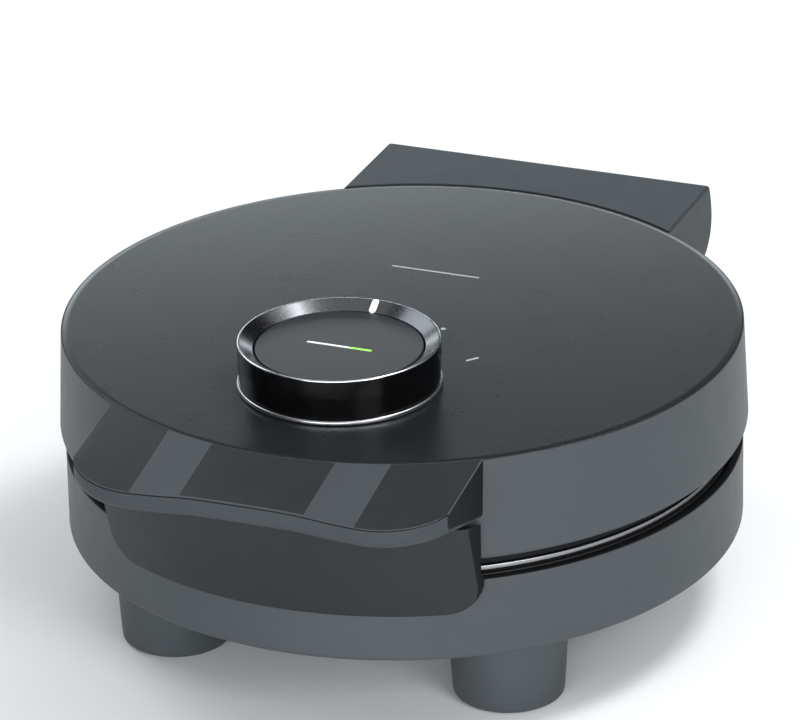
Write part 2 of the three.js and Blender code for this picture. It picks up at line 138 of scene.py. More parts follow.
def arc(centre, r, start, end, steps):
    """Points on a circle from one angle to another, in radians."""
    angles = [start + (end - start) * k / steps for k in range(steps + 1)]
    return [(centre[0] + r * math.cos(a), centre[1] + r * math.sin(a)) for a in angles]


def quadratic(a, b, c, steps=10):
    """Points of a quadratic curve from a to c, without a itself."""
    shares = [k / steps for k in range(1, steps + 1)]
    return [tuple((1 - t) ** 2 * Vector(a) + 2 * t * (1 - t) * Vector(b) + t * t * Vector(c))
            for t in shares]


def spline(points, steps):
    """A smooth curve through all the points."""
    out = []
    for i in range(len(points) - 1):
        p0, p1, p2, p3 = (Vector(points[max(0, min(len(points) - 1, i + k))]) for k in (-1, 0, 1, 2))
        for k in range(steps):
            t = k / steps
            a, b = (p2 - p0) / 2, (p3 - p1) / 2
            out.append(tuple((2 * p1 - 2 * p2 + a + b) * t ** 3 + (3 * p2 - 3 * p1 - 2 * a - b) * t * t
                             + a * t + p1))
    return out + [tuple(points[-1])]


def stadium(x0, x1, half, steps=10):
    """A bar with round ends along X, as a counter-clockwise outline about y = 0."""
    return (arc((x1 - half, 0), half, -math.pi / 2, math.pi / 2, steps)
            + arc((x0 + half, 0), half, math.pi / 2, 1.5 * math.pi, steps))


def even(outline, step):
    """The closed outline with points added so that none of its edges is longer than step."""
    out = []
    for a, b in zip(outline, outline[1:] + outline[:1]):
        count = max(1, math.ceil(math.dist(a, b) / step))
        out += [tuple(mix(Vector(a), Vector(b), k / count)) for k in range(count)]
    return out


def mix(a, b, t):
    return a + (b - a) * t


def on_circle(r, x):
    """Front half of a circle about the axis."""
    return -math.sqrt(r * r - x * x)


# Directions that a shape's own (a, b, height) can be laid along
def upright(p):
    return p


def along_x(p):
    return (p[2], p[0], p[1])


def along_y(p):
    return (p[1], p[2], p[0])


INSIDE_TRIANGLES, INSIDE_FACES = 1, 2  # kinds of result of delaunay_2d_cdt


class Shell:
    """Points and faces of a closed body."""

    def __init__(self):
        self.points, self.faces = [], []

    def loop(self, points):
        first = len(self.points)
        self.points += [tuple(p) for p in points]
        return list(range(first, len(self.points)))

    def ring(self, r, z, centre=(0, 0), count=SEGMENTS):
        if r < 1e-6:
            return self.loop([(centre[0], centre[1], z)])
        turns = [2 * math.pi * i / count for i in range(count)]
        return self.loop([(centre[0] + r * math.cos(t), centre[1] + r * math.sin(t), z) for t in turns])

    def bridge(self, low, high):
        count = max(len(low), len(high))
        for i in range(count):
            j = (i + 1) % count
            face = dict.fromkeys([low[i % len(low)], low[j % len(low)],
                                  high[j % len(high)], high[i % len(high)]])
            self.faces.append(list(face))

    def turn(self, profile, centre=(0, 0), count=SEGMENTS):
        """Turns a profile of (radius, height) points; returns its first and last ring."""
        rings = [self.ring(r, z, centre, count) for r, z in profile]
        for low, high in zip(rings, rings[1:]):
            self.bridge(low, high)
        return rings[0], rings[-1]

    def fill(self, loops, height=None, spacing=None):
        """Faces over the first loop's inside, less the other loops' insides."""
        index = [i for loop in loops for i in loop]
        flat = [Vector(self.points[i][:2]) for i in index]
        edges, start = [], 0
        for loop in loops:
            edges += [(start + k, start + (k + 1) % len(loop)) for k in range(len(loop))]
            start += len(loop)
        if spacing:
            flat += self.inside_points([self.points[i] for i in loops[0]], spacing)
        kind = INSIDE_TRIANGLES if len(loops) > 1 else INSIDE_FACES
        made, _, faces, origins, _, _ = delaunay_2d_cdt(flat, edges, [], kind, 1e-6)
        if kind == INSIDE_TRIANGLES:
            faces = [face for face in faces
                     if self.between(sum((made[i] for i in face), Vector((0, 0))) / 3, flat, edges)]
        number = []
        for place, origin in zip(made, origins):
            known = [o for o in origin if o < len(index)]
            if known:
                number.append(index[known[0]])
            else:
                number += self.loop([(place.x, place.y, height(place.x, place.y))])
        self.faces += [[number[i] for i in face] for face in faces]

    @staticmethod
    def between(point, places, edges):
        """Whether a point lies inside the outer loop and outside the holes."""
        inside = False
        for i, k in edges:
            a, b = places[i], places[k]
            crosses = (a.y > point.y) != (b.y > point.y)
            if crosses and point.x < a.x + (point.y - a.y) * (b.x - a.x) / (b.y - a.y):
                inside = not inside
        return inside

    @staticmethod
    def inside_points(loop, spacing):
        """Points of a staggered grid that lie inside the loop and clear of it."""
        xs, ys = [p[0] for p in loop], [p[1] for p in loop]
        found = []
        rows = int((max(ys) - min(ys)) / spacing)
        for row in range(1, rows + 1):
            y = min(ys) + row * spacing - 0.13 * spacing
            crossings = sorted(a[0] + (y - a[1]) * (b[0] - a[0]) / (b[1] - a[1])
                               for a, b in zip(loop, loop[1:] + loop[:1]) if (a[1] > y) != (b[1] > y))
            for left, right in zip(crossings[::2], crossings[1::2]):
                steps = int((right - left) / spacing)
                found += [Vector((mix(left, right, k / steps), y)) for k in range(1, steps)]
        return found

    def piece(self, name, place=upright):
        mesh = bpy.data.meshes.new(name)
        mesh.from_pydata([Vector(place(p)) * MM for p in self.points], [], self.faces)
        piece = bpy.data.objects.new(name, mesh)
        bpy.context.scene.collection.objects.link(piece)
        tidy_mesh(mesh)
        return piece


def tidy_mesh(mesh):
    """Welds the points that coincide and faces every face outwards."""
    work = bmesh.new()
    work.from_mesh(mesh)
    bmesh.ops.remove_doubles(work, verts=work.verts, dist=2e-7)
    bmesh.ops.recalc_face_normals(work, faces=work.faces)
    work.to_mesh(mesh)
    work.free()


def lathe(name, profile, centre=(0, 0), count=SEGMENTS, place=upright):
    """A closed body of revolution. A profile that leaves the axis closes on itself."""
    shell = Shell()
    first, last = shell.turn(profile, centre, count)
    if len(first) > 1:
        shell.bridge(last, first)
    return shell.piece(name, place)


def solid_over(name, outline, low, high, edge=0.0, low_edge=0.0, spacing=None, place=upright,
               sharp=lambda a, b: False, steps=5):
    """A body over a counter-clockwise outline, between two heights or height functions.

    edge and low_edge are the radii of its upper and lower edge, except where sharp(a, b) is true.
    """
    low_at = low if callable(low) else lambda a, b: low
    high_at = high if callable(high) else lambda a, b: high
    count = len(outline)
    inwards = []
    for i in range(count):
        before, after = Vector(outline[i - 1]), Vector(outline[(i + 1) % count])
        here = Vector(outline[i])
        sides = [(here - before).normalized(), (after - here).normalized()]
        normal = Vector((-sides[0].y - sides[1].y, sides[0].x + sides[1].x)).normalized()
        spread = max(0.5, normal.dot(Vector((-sides[0].y, sides[0].x))))
        inwards.append(normal / spread * (0.02 if sharp(*here) else 1))
    shell = Shell()
    loops = []

    def add_loop(radius, height_at, angle, sign):
        points = []
        for (a, b), inward in zip(outline, inwards):
            x = a + inward.x * radius * (1 - math.cos(angle))
            y = b + inward.y * radius * (1 - math.cos(angle))
            drop = radius * (1 - math.sin(angle)) * min(1.0, inward.length)
            points.append((x, y, height_at(x, y) + sign * drop))
        loops.append(shell.loop(points))

    for k in range(steps if low_edge else 0, -1, -1):
        add_loop(low_edge, low_at, math.pi / 2 * (k / steps if low_edge else 1), 1)
    for k in range(0, (steps if edge else 0) + 1):
        add_loop(edge, high_at, math.pi / 2 * (k / steps if edge else 1), -1)
    for below, above in zip(loops, loops[1:]):
        shell.bridge(below, above)
    shell.fill([loops[0]], low_at, spacing)
    shell.fill([loops[-1]], high_at, spacing)
    return shell.piece(name, place)


def box(name, x, y, z, edge=0.3):
    """A block with rounded edges, between (low, high) pairs; its upright edges are the roundest."""
    corner = edge * 1.4
    flat = rounded([(x[0], y[0], corner), (x[1], y[0], corner), (x[1], y[1], corner),
                    (x[0], y[1], corner)])
    return solid_over(name, flat, z[0], z[1], edge, edge)


def settle(piece):
    """Applies a piece's modifiers to its mesh."""
    bpy.context.view_layer.update()
    seen = piece.evaluated_get(bpy.context.evaluated_depsgraph_get())
    made = bpy.data.meshes.new_from_object(seen)
    piece.modifiers.clear()
    piece.data = made


def combine(piece, operation, *tools):
    """Joins the tools to the piece, or cuts them from it, and removes them."""
    for tool in tools:
        step = piece.modifiers.new("combine", "BOOLEAN")
        step.operation = operation
        step.solver = "MANIFOLD"
        step.object = tool
        settle(piece)
        bpy.data.objects.remove(tool)
    return piece


def cut(piece, *tools):
    return combine(piece, "DIFFERENCE", *tools)


def join(piece, *tools):
    return combine(piece, "UNION", *tools)


def dress(piece, material, body, slot, *nodes, sharp=32):
    """Finishes a piece: smooth shading, its material and the body it rides on; hides the CAD nodes that it
    replaces.
    """
    piece.data.materials.clear()
    piece.data.materials.append(material)
    piece.data.shade_smooth()
    piece.data.set_sharp_from_angle(angle=math.radians(sharp))
    weights = piece.modifiers.new("face_weighted_normals", "WEIGHTED_NORMAL")
    weights.keep_sharp = True
    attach(piece, body)
    if nodes:
        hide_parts(*nodes)
    return piece


def dress_faces(piece, material, chosen):
    """Gives some faces a second material: those for which chosen(centre in mm, normal) is true."""
    piece.data.materials.append(material)
    for polygon in piece.data.polygons:
        if chosen(polygon.center / MM, polygon.normal):
            polygon.material_index = len(piece.data.materials) - 1


# Materials
class Nodes:
    """One procedural material, built socket by socket."""

    def __init__(self, name):
        self.material = bpy.data.materials.new(name)
        self.material.use_nodes = True
        self.tree = self.material.node_tree
        self.shader = next(n for n in self.tree.nodes if n.type == "BSDF_PRINCIPLED")
        self.place = self.add("ShaderNodeTexCoord").outputs["Object"]

    def add(self, kind, **settings):
        node = self.tree.nodes.new(kind)
        for key, value in settings.items():
            setattr(node, key, value)
        return node

    def link(self, source, target):
        self.tree.links.new(source, target)

    def noise(self, size_mm, detail=3.0, roughness=0.55, stretch=(1, 1, 1)):
        """Noise whose features are about size_mm across."""
        mapping = self.add("ShaderNodeMapping")
        mapping.inputs["Scale"].default_value = stretch
        self.link(self.place, mapping.inputs["Vector"])
        node = self.add("ShaderNodeTexNoise")
        node.inputs["Scale"].default_value = 1 / (size_mm * MM)
        node.inputs["Detail"].default_value = detail
        node.inputs["Roughness"].default_value = roughness
        self.link(mapping.outputs["Vector"], node.inputs["Vector"])
        return node.outputs["Fac"]

    def ramp(self, source, stops):
        """Colours or greys at places from 0 to 1."""
        node = self.add("ShaderNodeValToRGB")
        ramp = node.color_ramp
        while len(ramp.elements) < len(stops):
            ramp.elements.new(0.5)
        for element, (at, colour) in zip(ramp.elements, stops):
            element.position = at
            element.color = (*colour, 1)
        self.link(source, node.inputs["Fac"])
        return node.outputs["Color"]

    def spread(self, source, low, high, start=0.3, end=0.7):
        """A number that runs from low to high as the source runs from start to end."""
        node = self.add("ShaderNodeMapRange")
        for name, value in (("From Min", start), ("From Max", end), ("To Min", low), ("To Max", high)):
            node.inputs[name].default_value = value
        self.link(source, node.inputs["Value"])
        return node.outputs["Result"]

    def blend(self, share, first, second):
        """Two colours mixed by a share; each is a socket or three numbers."""
        node = self.add("ShaderNodeMix", data_type="RGBA")
        self.link(share, node.inputs["Factor"])
        for name, colour in (("A", first), ("B", second)):
            socket = next(s for s in node.inputs if s.name == name and s.type == "RGBA")
            if hasattr(colour, "links"):
                self.link(colour, socket)
            else:
                socket.default_value = (*colour, 1)
        return next(s for s in node.outputs if s.type == "RGBA")

    def bump(self, *layers):
        """Bumps on top of each other, as (height source, depth in millimetres) layers."""
        below = None
        for source, depth in layers:
            node = self.add("ShaderNodeBump")
            node.inputs["Strength"].default_value = 1
            node.inputs["Distance"].default_value = depth * MM
            self.link(source, node.inputs["Height"])
            if below:
                self.link(below, node.inputs["Normal"])
            below = node.outputs["Normal"]
        self.link(below, self.shader.inputs["Normal"])


def shades(colour, low, high):
    """Two shades of a colour, for a ramp."""
    return [(0.3, tuple(c * low for c in colour)), (0.7, tuple(c * high for c in colour))]


def moulded(name, colour, roughness, grain=0.32, depth=0.006, spread=0.025, specular=0.4):
    """Moulded plastic: fine spark-eroded grain, faint flow variation and uneven sheen."""
    n = Nodes(name)
    flow = n.noise(38, detail=4)
    n.link(n.ramp(flow, shades(colour, 0.97, 1.03)), n.shader.inputs["Base Color"])
    n.link(n.spread(n.noise(9, detail=5), roughness - spread, roughness + spread),
           n.shader.inputs["Roughness"])
    n.shader.inputs["Specular IOR Level"].default_value = specular
    n.bump((n.noise(grain, detail=2), depth), (n.noise(grain * 9, detail=2), depth * 1.2))
    return n.material


def lacquered(name, colour, roughness):
    """Satin lacquer with fine flakes under it and faint waves on top."""
    n = Nodes(name)
    flakes = n.add("ShaderNodeTexVoronoi")
    flakes.inputs["Scale"].default_value = 1 / (0.3 * MM)
    n.link(n.place, flakes.inputs["Vector"])
    flake = n.ramp(flakes.outputs["Color"], shades(colour, 0.95, 1.05))
    cloud = n.ramp(n.noise(45, detail=4), shades(colour, 0.98, 1.02))
    n.link(n.blend(n.spread(n.noise(0.7), 0.25, 0.75), cloud, flake), n.shader.inputs["Base Color"])
    n.link(n.spread(n.noise(12, detail=5), roughness - 0.01, roughness + 0.01),
           n.shader.inputs["Roughness"])
    n.bump((n.noise(2.5, detail=1), 0.002))
    return n.material


def glossy(name, colour, roughness, specular=0.5):
    """Polished plastic with the faint waviness and rub marks of a moulding."""
    n = Nodes(name)
    n.link(n.ramp(n.noise(14, detail=4), shades(colour, 0.8, 1.2)), n.shader.inputs["Base Color"])
    n.link(n.spread(n.noise(3.5, detail=6), roughness * 0.7, roughness * 1.5),
           n.shader.inputs["Roughness"])
    n.shader.inputs["Specular IOR Level"].default_value = specular
    n.bump((n.noise(5, detail=1), 0.0025), (n.noise(0.4, detail=2), 0.0004))
    return n.material


def metal(name, colour, roughness, stretch=(1, 1, 1), grain=0.5, depth=0.0015):
    """Bare metal with drawn or turned grain, tarnished a little unevenly."""
    n = Nodes(name)
    lines = n.noise(grain, detail=4, stretch=stretch)
    stain = n.noise(11, detail=5)
    n.link(n.blend(n.spread(stain, 0, 1), n.ramp(lines, shades(colour, 0.86, 1.08)),
                   n.ramp(lines, shades(colour, 0.74, 0.98))), n.shader.inputs["Base Color"])
    n.link(n.spread(lines, roughness - 0.06, roughness + 0.1), n.shader.inputs["Roughness"])
    n.shader.inputs["Metallic"].default_value = 1.0
    n.bump((lines, depth))
    return n.material


def non_stick(name):
    """A speckled non-stick coating over a casting's faint orange peel."""
    n = Nodes(name)
    specks = n.add("ShaderNodeTexVoronoi")
    specks.inputs["Scale"].default_value = 1 / (1.1 * MM)
    n.link(n.place, specks.inputs["Vector"])
    speck = n.spread(specks.outputs["Distance"], 1, 0, 0.06, 0.16)
    base = n.ramp(n.noise(20, detail=4), shades((0.021, 0.0215, 0.023), 0.85, 1.15))
    n.link(n.blend(speck, base, (0.12, 0.12, 0.125)), n.shader.inputs["Base Color"])
    n.link(n.spread(n.noise(2.2, detail=5), 0.34, 0.48), n.shader.inputs["Roughness"])
    n.bump((n.noise(0.9, detail=3), 0.012), (n.noise(0.2, detail=2), 0.003))
    return n.material


def lit(name, colour, strength, second_colour):
    """A lit light bar whose glow drifts between two colours."""
    n = Nodes(name)
    cloud = n.noise(2.5, detail=3)
    tint = n.blend(n.spread(cloud, 0, 1), colour, second_colour)
    n.link(tint, n.shader.inputs["Base Color"])
    n.link(tint, n.shader.inputs["Emission Color"])
    n.shader.inputs["Emission Strength"].default_value = strength
    n.link(n.spread(cloud, 0.2, 0.32), n.shader.inputs["Roughness"])
    n.bump((n.noise(0.3, detail=2), 0.001))
    return n.material


ANTHRACITE = moulded("anthracite_plastic", (0.041, 0.048, 0.053), 0.48, specular=0.34)
PANEL = lacquered("satin_panel_lacquer", (0.012, 0.014, 0.0162), 0.28)
CAP = lacquered("dial_cap_lacquer", (0.03, 0.033, 0.037), 0.36)
INLAY = moulded("dark_inlay_plastic", (0.0135, 0.0148, 0.017), 0.42, grain=0.25, depth=0.003)
# Dark trim plastic for the grip, made darker still as painted shade under the lid's lip.
SHADED_GRIP = moulded("shaded_grip_plastic", (0.0112, 0.0122, 0.0142), 0.5, grain=0.3, depth=0.004, specular=0.3)
COVER = moulded("cover_plastic", (0.033, 0.039, 0.0435), 0.56, specular=0.24)
# Near-black for painted shade: the gap under the lid, the plates' rims, the sides of the handle and grip,
# and the crease along the handle's lip.
SHADOW_BLACK = moulded("shadow_black_plastic", (0.004, 0.0042, 0.0048), 0.6, specular=0.14)
BLACK = moulded("black_plastic", (0.012, 0.012, 0.013), 0.5)
GLOSS = glossy("gloss_black_dial", (0.0015, 0.0015, 0.0018), 0.16, specular=0.22)
DARK_CHROME = metal("dark_chrome", (0.1, 0.103, 0.108), 0.2, stretch=(1, 1, 4), grain=0.6, depth=0.0004)
STEEL = metal("satin_steel", (0.62, 0.63, 0.65), 0.26, grain=0.3)
TURNED = metal("turned_bright_metal", (0.72, 0.73, 0.75), 0.2, stretch=(1, 1, 6), grain=0.6)
TIN = metal("tin_plate", (0.5, 0.51, 0.52), 0.36, stretch=(5, 1, 1), grain=0.9)
BRASS = metal("machined_brass", (0.56, 0.41, 0.16), 0.3, stretch=(1, 1, 8))
COATING = non_stick("non_stick_coating")
RIM = metal("bare_plate_rim", (0.42, 0.427, 0.44), 0.3, stretch=(1, 1, 5), grain=0.5)
RUBBER = moulded("matt_rubber", (0.014, 0.014, 0.015), 0.78, grain=0.5, depth=0.02)
WHITE = moulded("white_plastic", (0.88, 0.88, 0.88), 0.3, grain=0.3, depth=0.001)
PRINT = moulded("pale_print", (0.4, 0.4, 0.39), 0.5, grain=0.2, depth=0.002)
CERAMIC = moulded("ceramic_white", (0.62, 0.6, 0.55), 0.55, grain=0.4, depth=0.006)
LIT_WHITE = lit("lit_white_bar", (0.62, 0.66, 0.7), 0.35, (0.75, 0.78, 0.8))
LIT_GREEN = lit("lit_green_bar", (0.2, 0.62, 0.05), 0.75, (0.35, 0.75, 0.12))
BOARD = moulded("solder_mask", (0.01, 0.09, 0.03), 0.35, grain=0.6, depth=0.004)
GUIDE = glossy("clear_guide", (0.7, 0.75, 0.75), 0.08)


# Base
def screw_places():
    return [(SCREW_RING * math.cos(a), SCREW_RING * math.sin(a))
            for a in (math.radians(d) for d in (90, 210, 330))]


def bore(r, low, high, at=(0, 0), place=upright, count=48):
    """A plain cylinder to cut with."""
    return lathe("bore", [(0, low), (r, low), (r, high), (0, high)], at, count, place)


def tower_outline():
    rear = HINGE.y + 4
    top = arc((HINGE.y, HINGE.z), KNUCKLE, -1.05, 1.05 * math.pi, 40)
    return rounded([(96, 31, 1), (rear, 31, 3), (rear, 49, 1)]) + top + [(108, 52), (96, 52)]


def make_base_housing():
    inner = BASE_R - WALL
    floor = BASE_LOW.z + WALL
    shell = lathe("base_shell", rounded([
        (0, BASE_LOW.z), (BASE_R, BASE_LOW.z, 1.6), (BASE_R, BASE_TOP, 0.6), (inner, BASE_TOP, 0.4),
        (inner, floor, 2), (0, floor)], closed=False))
    tower = solid_over("tower", tower_outline(), -TOWER_HALF, TOWER_HALF, 0.8, 0.8, place=along_x)
    cut(tower, bore(inner + 0.6, floor, 90, count=SEGMENTS))
    join(shell, tower)
    cut(shell, bore(PIN_R + GAP, -60, 60, (HINGE.y, HINGE.z), along_x),
        bore(4.6, HINGE.y - 6, HINGE.y + 10, INLET, along_y))
    for x, y in screw_places():
        cut(shell, bore(3.8, 20, 29.5, (x, y)), bore(2.1, 20, 40, (x, y)))
    dress(shell, ANTHRACITE, "base", "housing", "base_housing")

    # Painted shade: the base wall's top face gets shadow black, for the shade under the lid's overhang.
    def shaded_rim_top(centre, normal):
        level = BASE_TOP - 0.7 < centre.z < BASE_TOP + 0.1
        return level and normal.z > 0.5 and centre.xy.length > inner - 0.5

    dress_faces(shell, SHADOW_BLACK, shaded_rim_top)


def make_feet():
    for side in ("front_left", "front_right", "rear_left", "rear_right"):
        low, high = corners(f"{side}_foot_pad")
        centre = ((low.x + high.x) / 2, (low.y + high.y) / 2)
        pad, pad_top = (high.x - low.x) / 2, high.z
        foot = lathe(f"{side}_foot_cup", rounded([
            (0, pad_top + GAP), (pad + GAP, pad_top + GAP, 0.3), (pad + GAP, 0.3, 0.3), (17.3, 0.3, 1.8),
            (17.8, 8, 12), (19, FOOT_TOP, 0.3), (1.9, FOOT_TOP, 0.2), (1.9, 12, 0.2), (0, 12)],
            closed=False), centre, 160)
        dress(foot, ANTHRACITE, "base", "housing", f"{side}_foot")
        pad_piece = lathe(f"{side}_foot_sole", rounded([
            (0, 0.7), (7, 0.7, 0.5), (8.2, 0, 0.4), (pad, 0, 0.6), (pad, pad_top, 0.2), (0, pad_top)],
            closed=False), centre, 96)
        dress(pad_piece, RUBBER, "base", "rubber", f"{side}_foot_pad")
        screw_head = (*centre, 30.8)
        make_screw(f"{side}_foot_fixing", screw_head, 16, -1, "base", f"{side}_foot_screw")


def make_screw(name, at, length, up, body, node):
    """A pan-head screw with a cross recess; its head's bearing face is at `at`."""
    thread = []
    turns = int((length - 3) / 1.1)
    for k in range(turns):
        z = 1.6 + k * 1.1
        thread += [(1.25, z), (1.6, z + 0.55)]
    profile = rounded([(0, -1.2), (2.2, -1.2, 1.2), (3.3, -0.7, 0.5), (3.3, 0, 0.15), (1.3, 0), (1.3, 1.2)],
                      closed=False) + thread + [(1.25, length - 1.2), (0.5, length - 0.1), (0, length)]
    screw = lathe(name, profile, (0, 0), 40)
    cut(screw, solid_over("slot", [(-1.9, -0.3), (1.9, -0.3), (1.9, 0.3), (-1.9, 0.3)], -2, -0.55),
        solid_over("slot", [(-0.3, -1.9), (0.3, -1.9), (0.3, 1.9), (-0.3, 1.9)], -2, -0.55))
    flip = Matrix.Identity(4) if up > 0 else Matrix.Rotation(math.pi, 4, "X")
    screw.data.transform(Matrix.Translation(Vector(at) * MM) @ flip)
    dress(screw, STEEL, body, "satin_metal", node)


def grip_radius(z):
    """Radius of the grip's sloping front at a height."""
    return mix(108.7, 118, (z - 43) / 34)


def grip_back(z):
    """Radius of the grip's back at a height: it lies on the base and steps out past the lid."""
    step = BASE_TOP + 1
    if z < step:
        return BASE_R + 0.4
    return mix(BASE_R + 0.4, LID_FOOT_R + 0.8, min(1, (z - step) / 1.5))


def make_grip():
    half, low, high = HANDLE_HALF, GRIP_LOW, GRIP_HIGH
    outline = even(rounded([(-half, low, 10), (half, low, 10), (half, high), (-half, high)], steps=12),
                   1.6)
    grip = solid_over("front_block", outline,
                      lambda x, z: math.sqrt(grip_back(z) ** 2 - x * x),
                      lambda x, z: math.sqrt(grip_radius(z) ** 2 - x * x),
                      edge=0.9, spacing=2.2, place=lambda p: (p[0], -p[2], p[1]),
                      sharp=lambda x, z: z > high - 0.5)
    roof = [(100, 70.4), (109.8, 74), (118, 77), (130, 81.4), (130, 95), (100, 95)]
    cut(grip, lathe("roof", roof))
    # Painted shade: the grip's darkened plastic stands for the shade under the lid's lip, and its sides get
    # shadow black.
    dress(grip, SHADED_GRIP, "base", "dark_trim", "base_grip")
    dress_faces(grip, SHADOW_BLACK, lambda centre, normal: abs(normal.x) > 0.8)


def mould_places():
    turns = [k * math.pi / 3 for k in range(6)]
    return [(0, 0)] + [(MOULD_RING * math.cos(t), MOULD_RING * math.sin(t)) for t in turns]


def half_ellipse(middle, across, depth, start, end, steps):
    """Cross section of a ring mould, from its outer side to its pin."""
    angles = [math.radians(start + (end - start) * k / steps) for k in range(steps + 1)]
    return [(middle + across * math.cos(a), -depth * math.sin(a)) for a in angles]


def baking_plate(name, face, up):
    """A cast plate with seven ring moulds; its cooking face is at height face, facing up or down."""
    shell = Shell()
    trough = rounded([(30.2, 0), (28.9, 0, 0.9), *half_ellipse(19, 9.7, 11, 12, 168, 18), (9.1, 0, 0.9),
                      (4, 0), (0, 0)], closed=False)
    cup = [(31.6, -PLATE_THICK), (30.9, -PLATE_THICK - 0.2), (30.6, -PLATE_THICK - 0.8),
           (30.3, -4.5), (29.6, -7), (28, -9.8), (25.6, -11.9), (23, -12.7), (21, -12.8), (0, -12.8)]
    boss = [(5.4, -PLATE_THICK), (4.7, -PLATE_THICK - 0.2), (4.4, -PLATE_THICK - 0.9), (4.3, -21.9),
            (3.9, -22.3), (2.1, -22.3), (1.9, -22.1), (1.9, -9), (0, -9)]
    top_holes, bottom_holes = [], []
    for place in mould_places():
        top_holes.append(shell.turn(trough, place, 96)[0])
        bottom_holes.append(shell.turn(cup, place, 72)[0])
    for place in screw_places():
        bottom_holes.append(shell.turn(boss, place, 32)[0])
    edge = rounded([(PLATE_R - PLATE_EDGE, 0), (PLATE_R, 0, 0.4), (PLATE_R, -RIM_DEPTH),
                    (PLATE_R, -PLATE_THICK, 0.5), (PLATE_R - PLATE_EDGE, -PLATE_THICK)], closed=False)
    first, last = shell.turn(edge)
    shell.fill([first, *top_holes])
    shell.fill([last, *bottom_holes])
    return shell.piece(name, lambda p: (p[0], p[1], face + up * p[2]))


def make_plate_set(level, body, face, up):
    """One baking plate with its frame, heating element, reflector pan and screws."""
    plate = baking_plate(f"{level}_ring_plate", face, up)
    dress(plate, COATING, body, "non_stick", f"{level}_baking_plate")
    # Painted shade: shadow black on the plates' rims, for the dark gap between lid and base.
    dress_faces(plate, SHADOW_BLACK, lambda centre, normal: centre.xy.length > PLATE_R - PLATE_EDGE - 0.1)
    if up > 0:
        dress_faces(plate, RIM, lambda centre, normal: centre.xy.length > PLATE_R - 0.2
                    and centre.z > face - RIM_DEPTH)
    low, high = corners(f"{level}_plate_frame")
    seal = lathe(f"{level}_plate_seat", rounded([(98.6, low.z, 0.3), (104.1, low.z, 0.3),
                                                 (104.1, high.z, 0.5), (98.6, high.z, 0.5)]))
    dress(seal, BLACK, body, "black_plastic", f"{level}_plate_frame")
    make_element(level, body)
    make_shield(level, body, up)
    for i, (x, y) in enumerate(screw_places()):
        node = f"{level}_plate_screw_{i + 1}"
        z = 29.3 if up > 0 else 92.1
        make_screw(f"{level}_plate_fixing_{i + 1}", (x, y, z), 17 if up > 0 else 20, up, body, node)


def make_element(level, body):
    """The tubular heating loop, with a lead at each end that is closed flat."""
    low, high = corners(f"{level}_heating_element")
    z, r = (low.z + high.z) / 2, (high.z - low.z) / 2 - 0.05
    route = [(-14, 90)] + arc((0, 0), 62, math.radians(105), math.radians(435), 15) + [(14, 90)]
    line = [Vector(p) for p in spline(route, 10)]
    shell = Shell()
    rings = []
    for i, here in enumerate(line):
        ahead = (line[min(i + 1, len(line) - 1)] - line[max(i - 1, 0)]).normalized()
        side = Vector((ahead.y, -ahead.x))
        circle = [2 * math.pi * k / 24 for k in range(24)]
        rings.append(shell.loop([(here.x + side.x * r * math.cos(t), here.y + side.y * r * math.cos(t),
                                  z + r * math.sin(t)) for t in circle]))
    for a, b in zip(rings, rings[1:]):
        shell.bridge(a, b)
    for ring in (rings[0], rings[-1]):
        shell.faces.append(ring)
    dress(shell.piece(f"{level}_element_loop"), STEEL, body, "satin_metal", f"{level}_heating_element")


def make_shield(level, body, up):
    """A pressed tin-plate pan with a stiffening bead."""
    low, high = corners(f"{level}_heat_shield")
    floor, rim = (low.z, high.z) if up > 0 else (high.z, low.z)
    t = 0.8 * up
    pan = lathe(f"{level}_reflector", rounded([
        (0, floor), (97, floor, 2), (97, rim), (96.2, rim), (96.2, floor + t, 1.4), (80, floor + t, 1),
        (78, floor + 1.8 * t, 1), (75, floor + 1.8 * t, 1), (73, floor + t, 1), (0, floor + t)],
        closed=False), count=160)
    for x, y in screw_places():
        cut(pan, bore(2.1, floor - 4, floor + 4, (x, y)))
    dress(pan, TIN, body, "tin_plate", f"{level}_heat_shield")


def make_base_small_parts():
    low, high = corners("hinge_pin")
    pin = lathe("hinge_rod", rounded([(0, low.x), (PIN_R, low.x, 0.5), (PIN_R, high.x, 0.5), (0, high.x)],
                                     closed=False), (HINGE.y, HINGE.z), 48, along_x)
    dress(pin, STEEL, "base", "satin_metal", "hinge_pin")
    rear = HINGE.y + 4
    ribs = [(3.4, rear + 3), (3.4, rear - 6), (4.3, rear - 6, 0.3), (4.3, rear + 0.35),
            (6.6, rear + 0.35, 0.2), (6.6, rear + 1.5, 0.4), (5.8, rear + 1.7), (5.6, rear + 2.2),
            (5.3, rear + 3, 0.3)]
    gland = lathe("inlet_gland", rounded(ribs), INLET, 64, along_y)
    dress(gland, RUBBER, "base", "rubber", "cable_gland")
    low, high = corners("terminal_block")
    block = box("terminal_strip", (low.x, high.x), (low.y, high.y), (low.z, high.z), 0.8)
    for x in (-8.5, 0, 8.5):
        cut(block, bore(2.4, high.z - 4, high.z + 2, (x, (low.y + high.y) / 2)))
    dress(block, CERAMIC, "base", "white_plastic", "terminal_block")


# Lid
# The handle's front edge from its middle to its side, which dips at the two lobes
FRONT = spline([(-0.5, -131.8, 89.1), (16, -131.8, 88.9), (28, -131.82, 88), (38.5, -131.84, 87.5),
                (46, -130.6, 87.6), (53, -127, 88), (58.4, -121.8, 88.7),
                (HANDLE_HALF, -116.5, 89.3)], 14)


